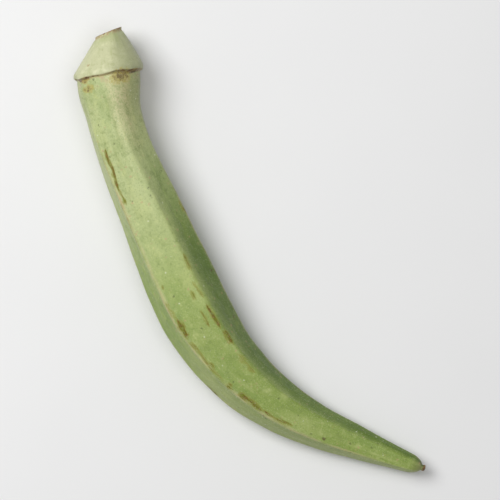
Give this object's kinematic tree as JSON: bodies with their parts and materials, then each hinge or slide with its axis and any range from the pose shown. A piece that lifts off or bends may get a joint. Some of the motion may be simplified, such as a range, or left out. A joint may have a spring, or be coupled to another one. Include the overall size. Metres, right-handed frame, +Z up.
{
  "type": "okra pod",
  "caption": "Fresh okra pod lying on its side, bowed and ribbed, tapering from a cone-shaped cap with a cut stump to a slim beak.",
  "frame": {"origin": "on the surface that the pod lies on, under the middle of its bounding box", "axes": "+X from the cap towards the tip, along the pod's chord; +Y into the hollow of its bow; +Z up"},
  "size_m": [0.1302, 0.0344, 0.0163],
  "materials": {
    "pod_skin": null
  },
  "bodies": {
    "root": {"okra_pod": "pod_skin"}
  },
  "joints": []
}
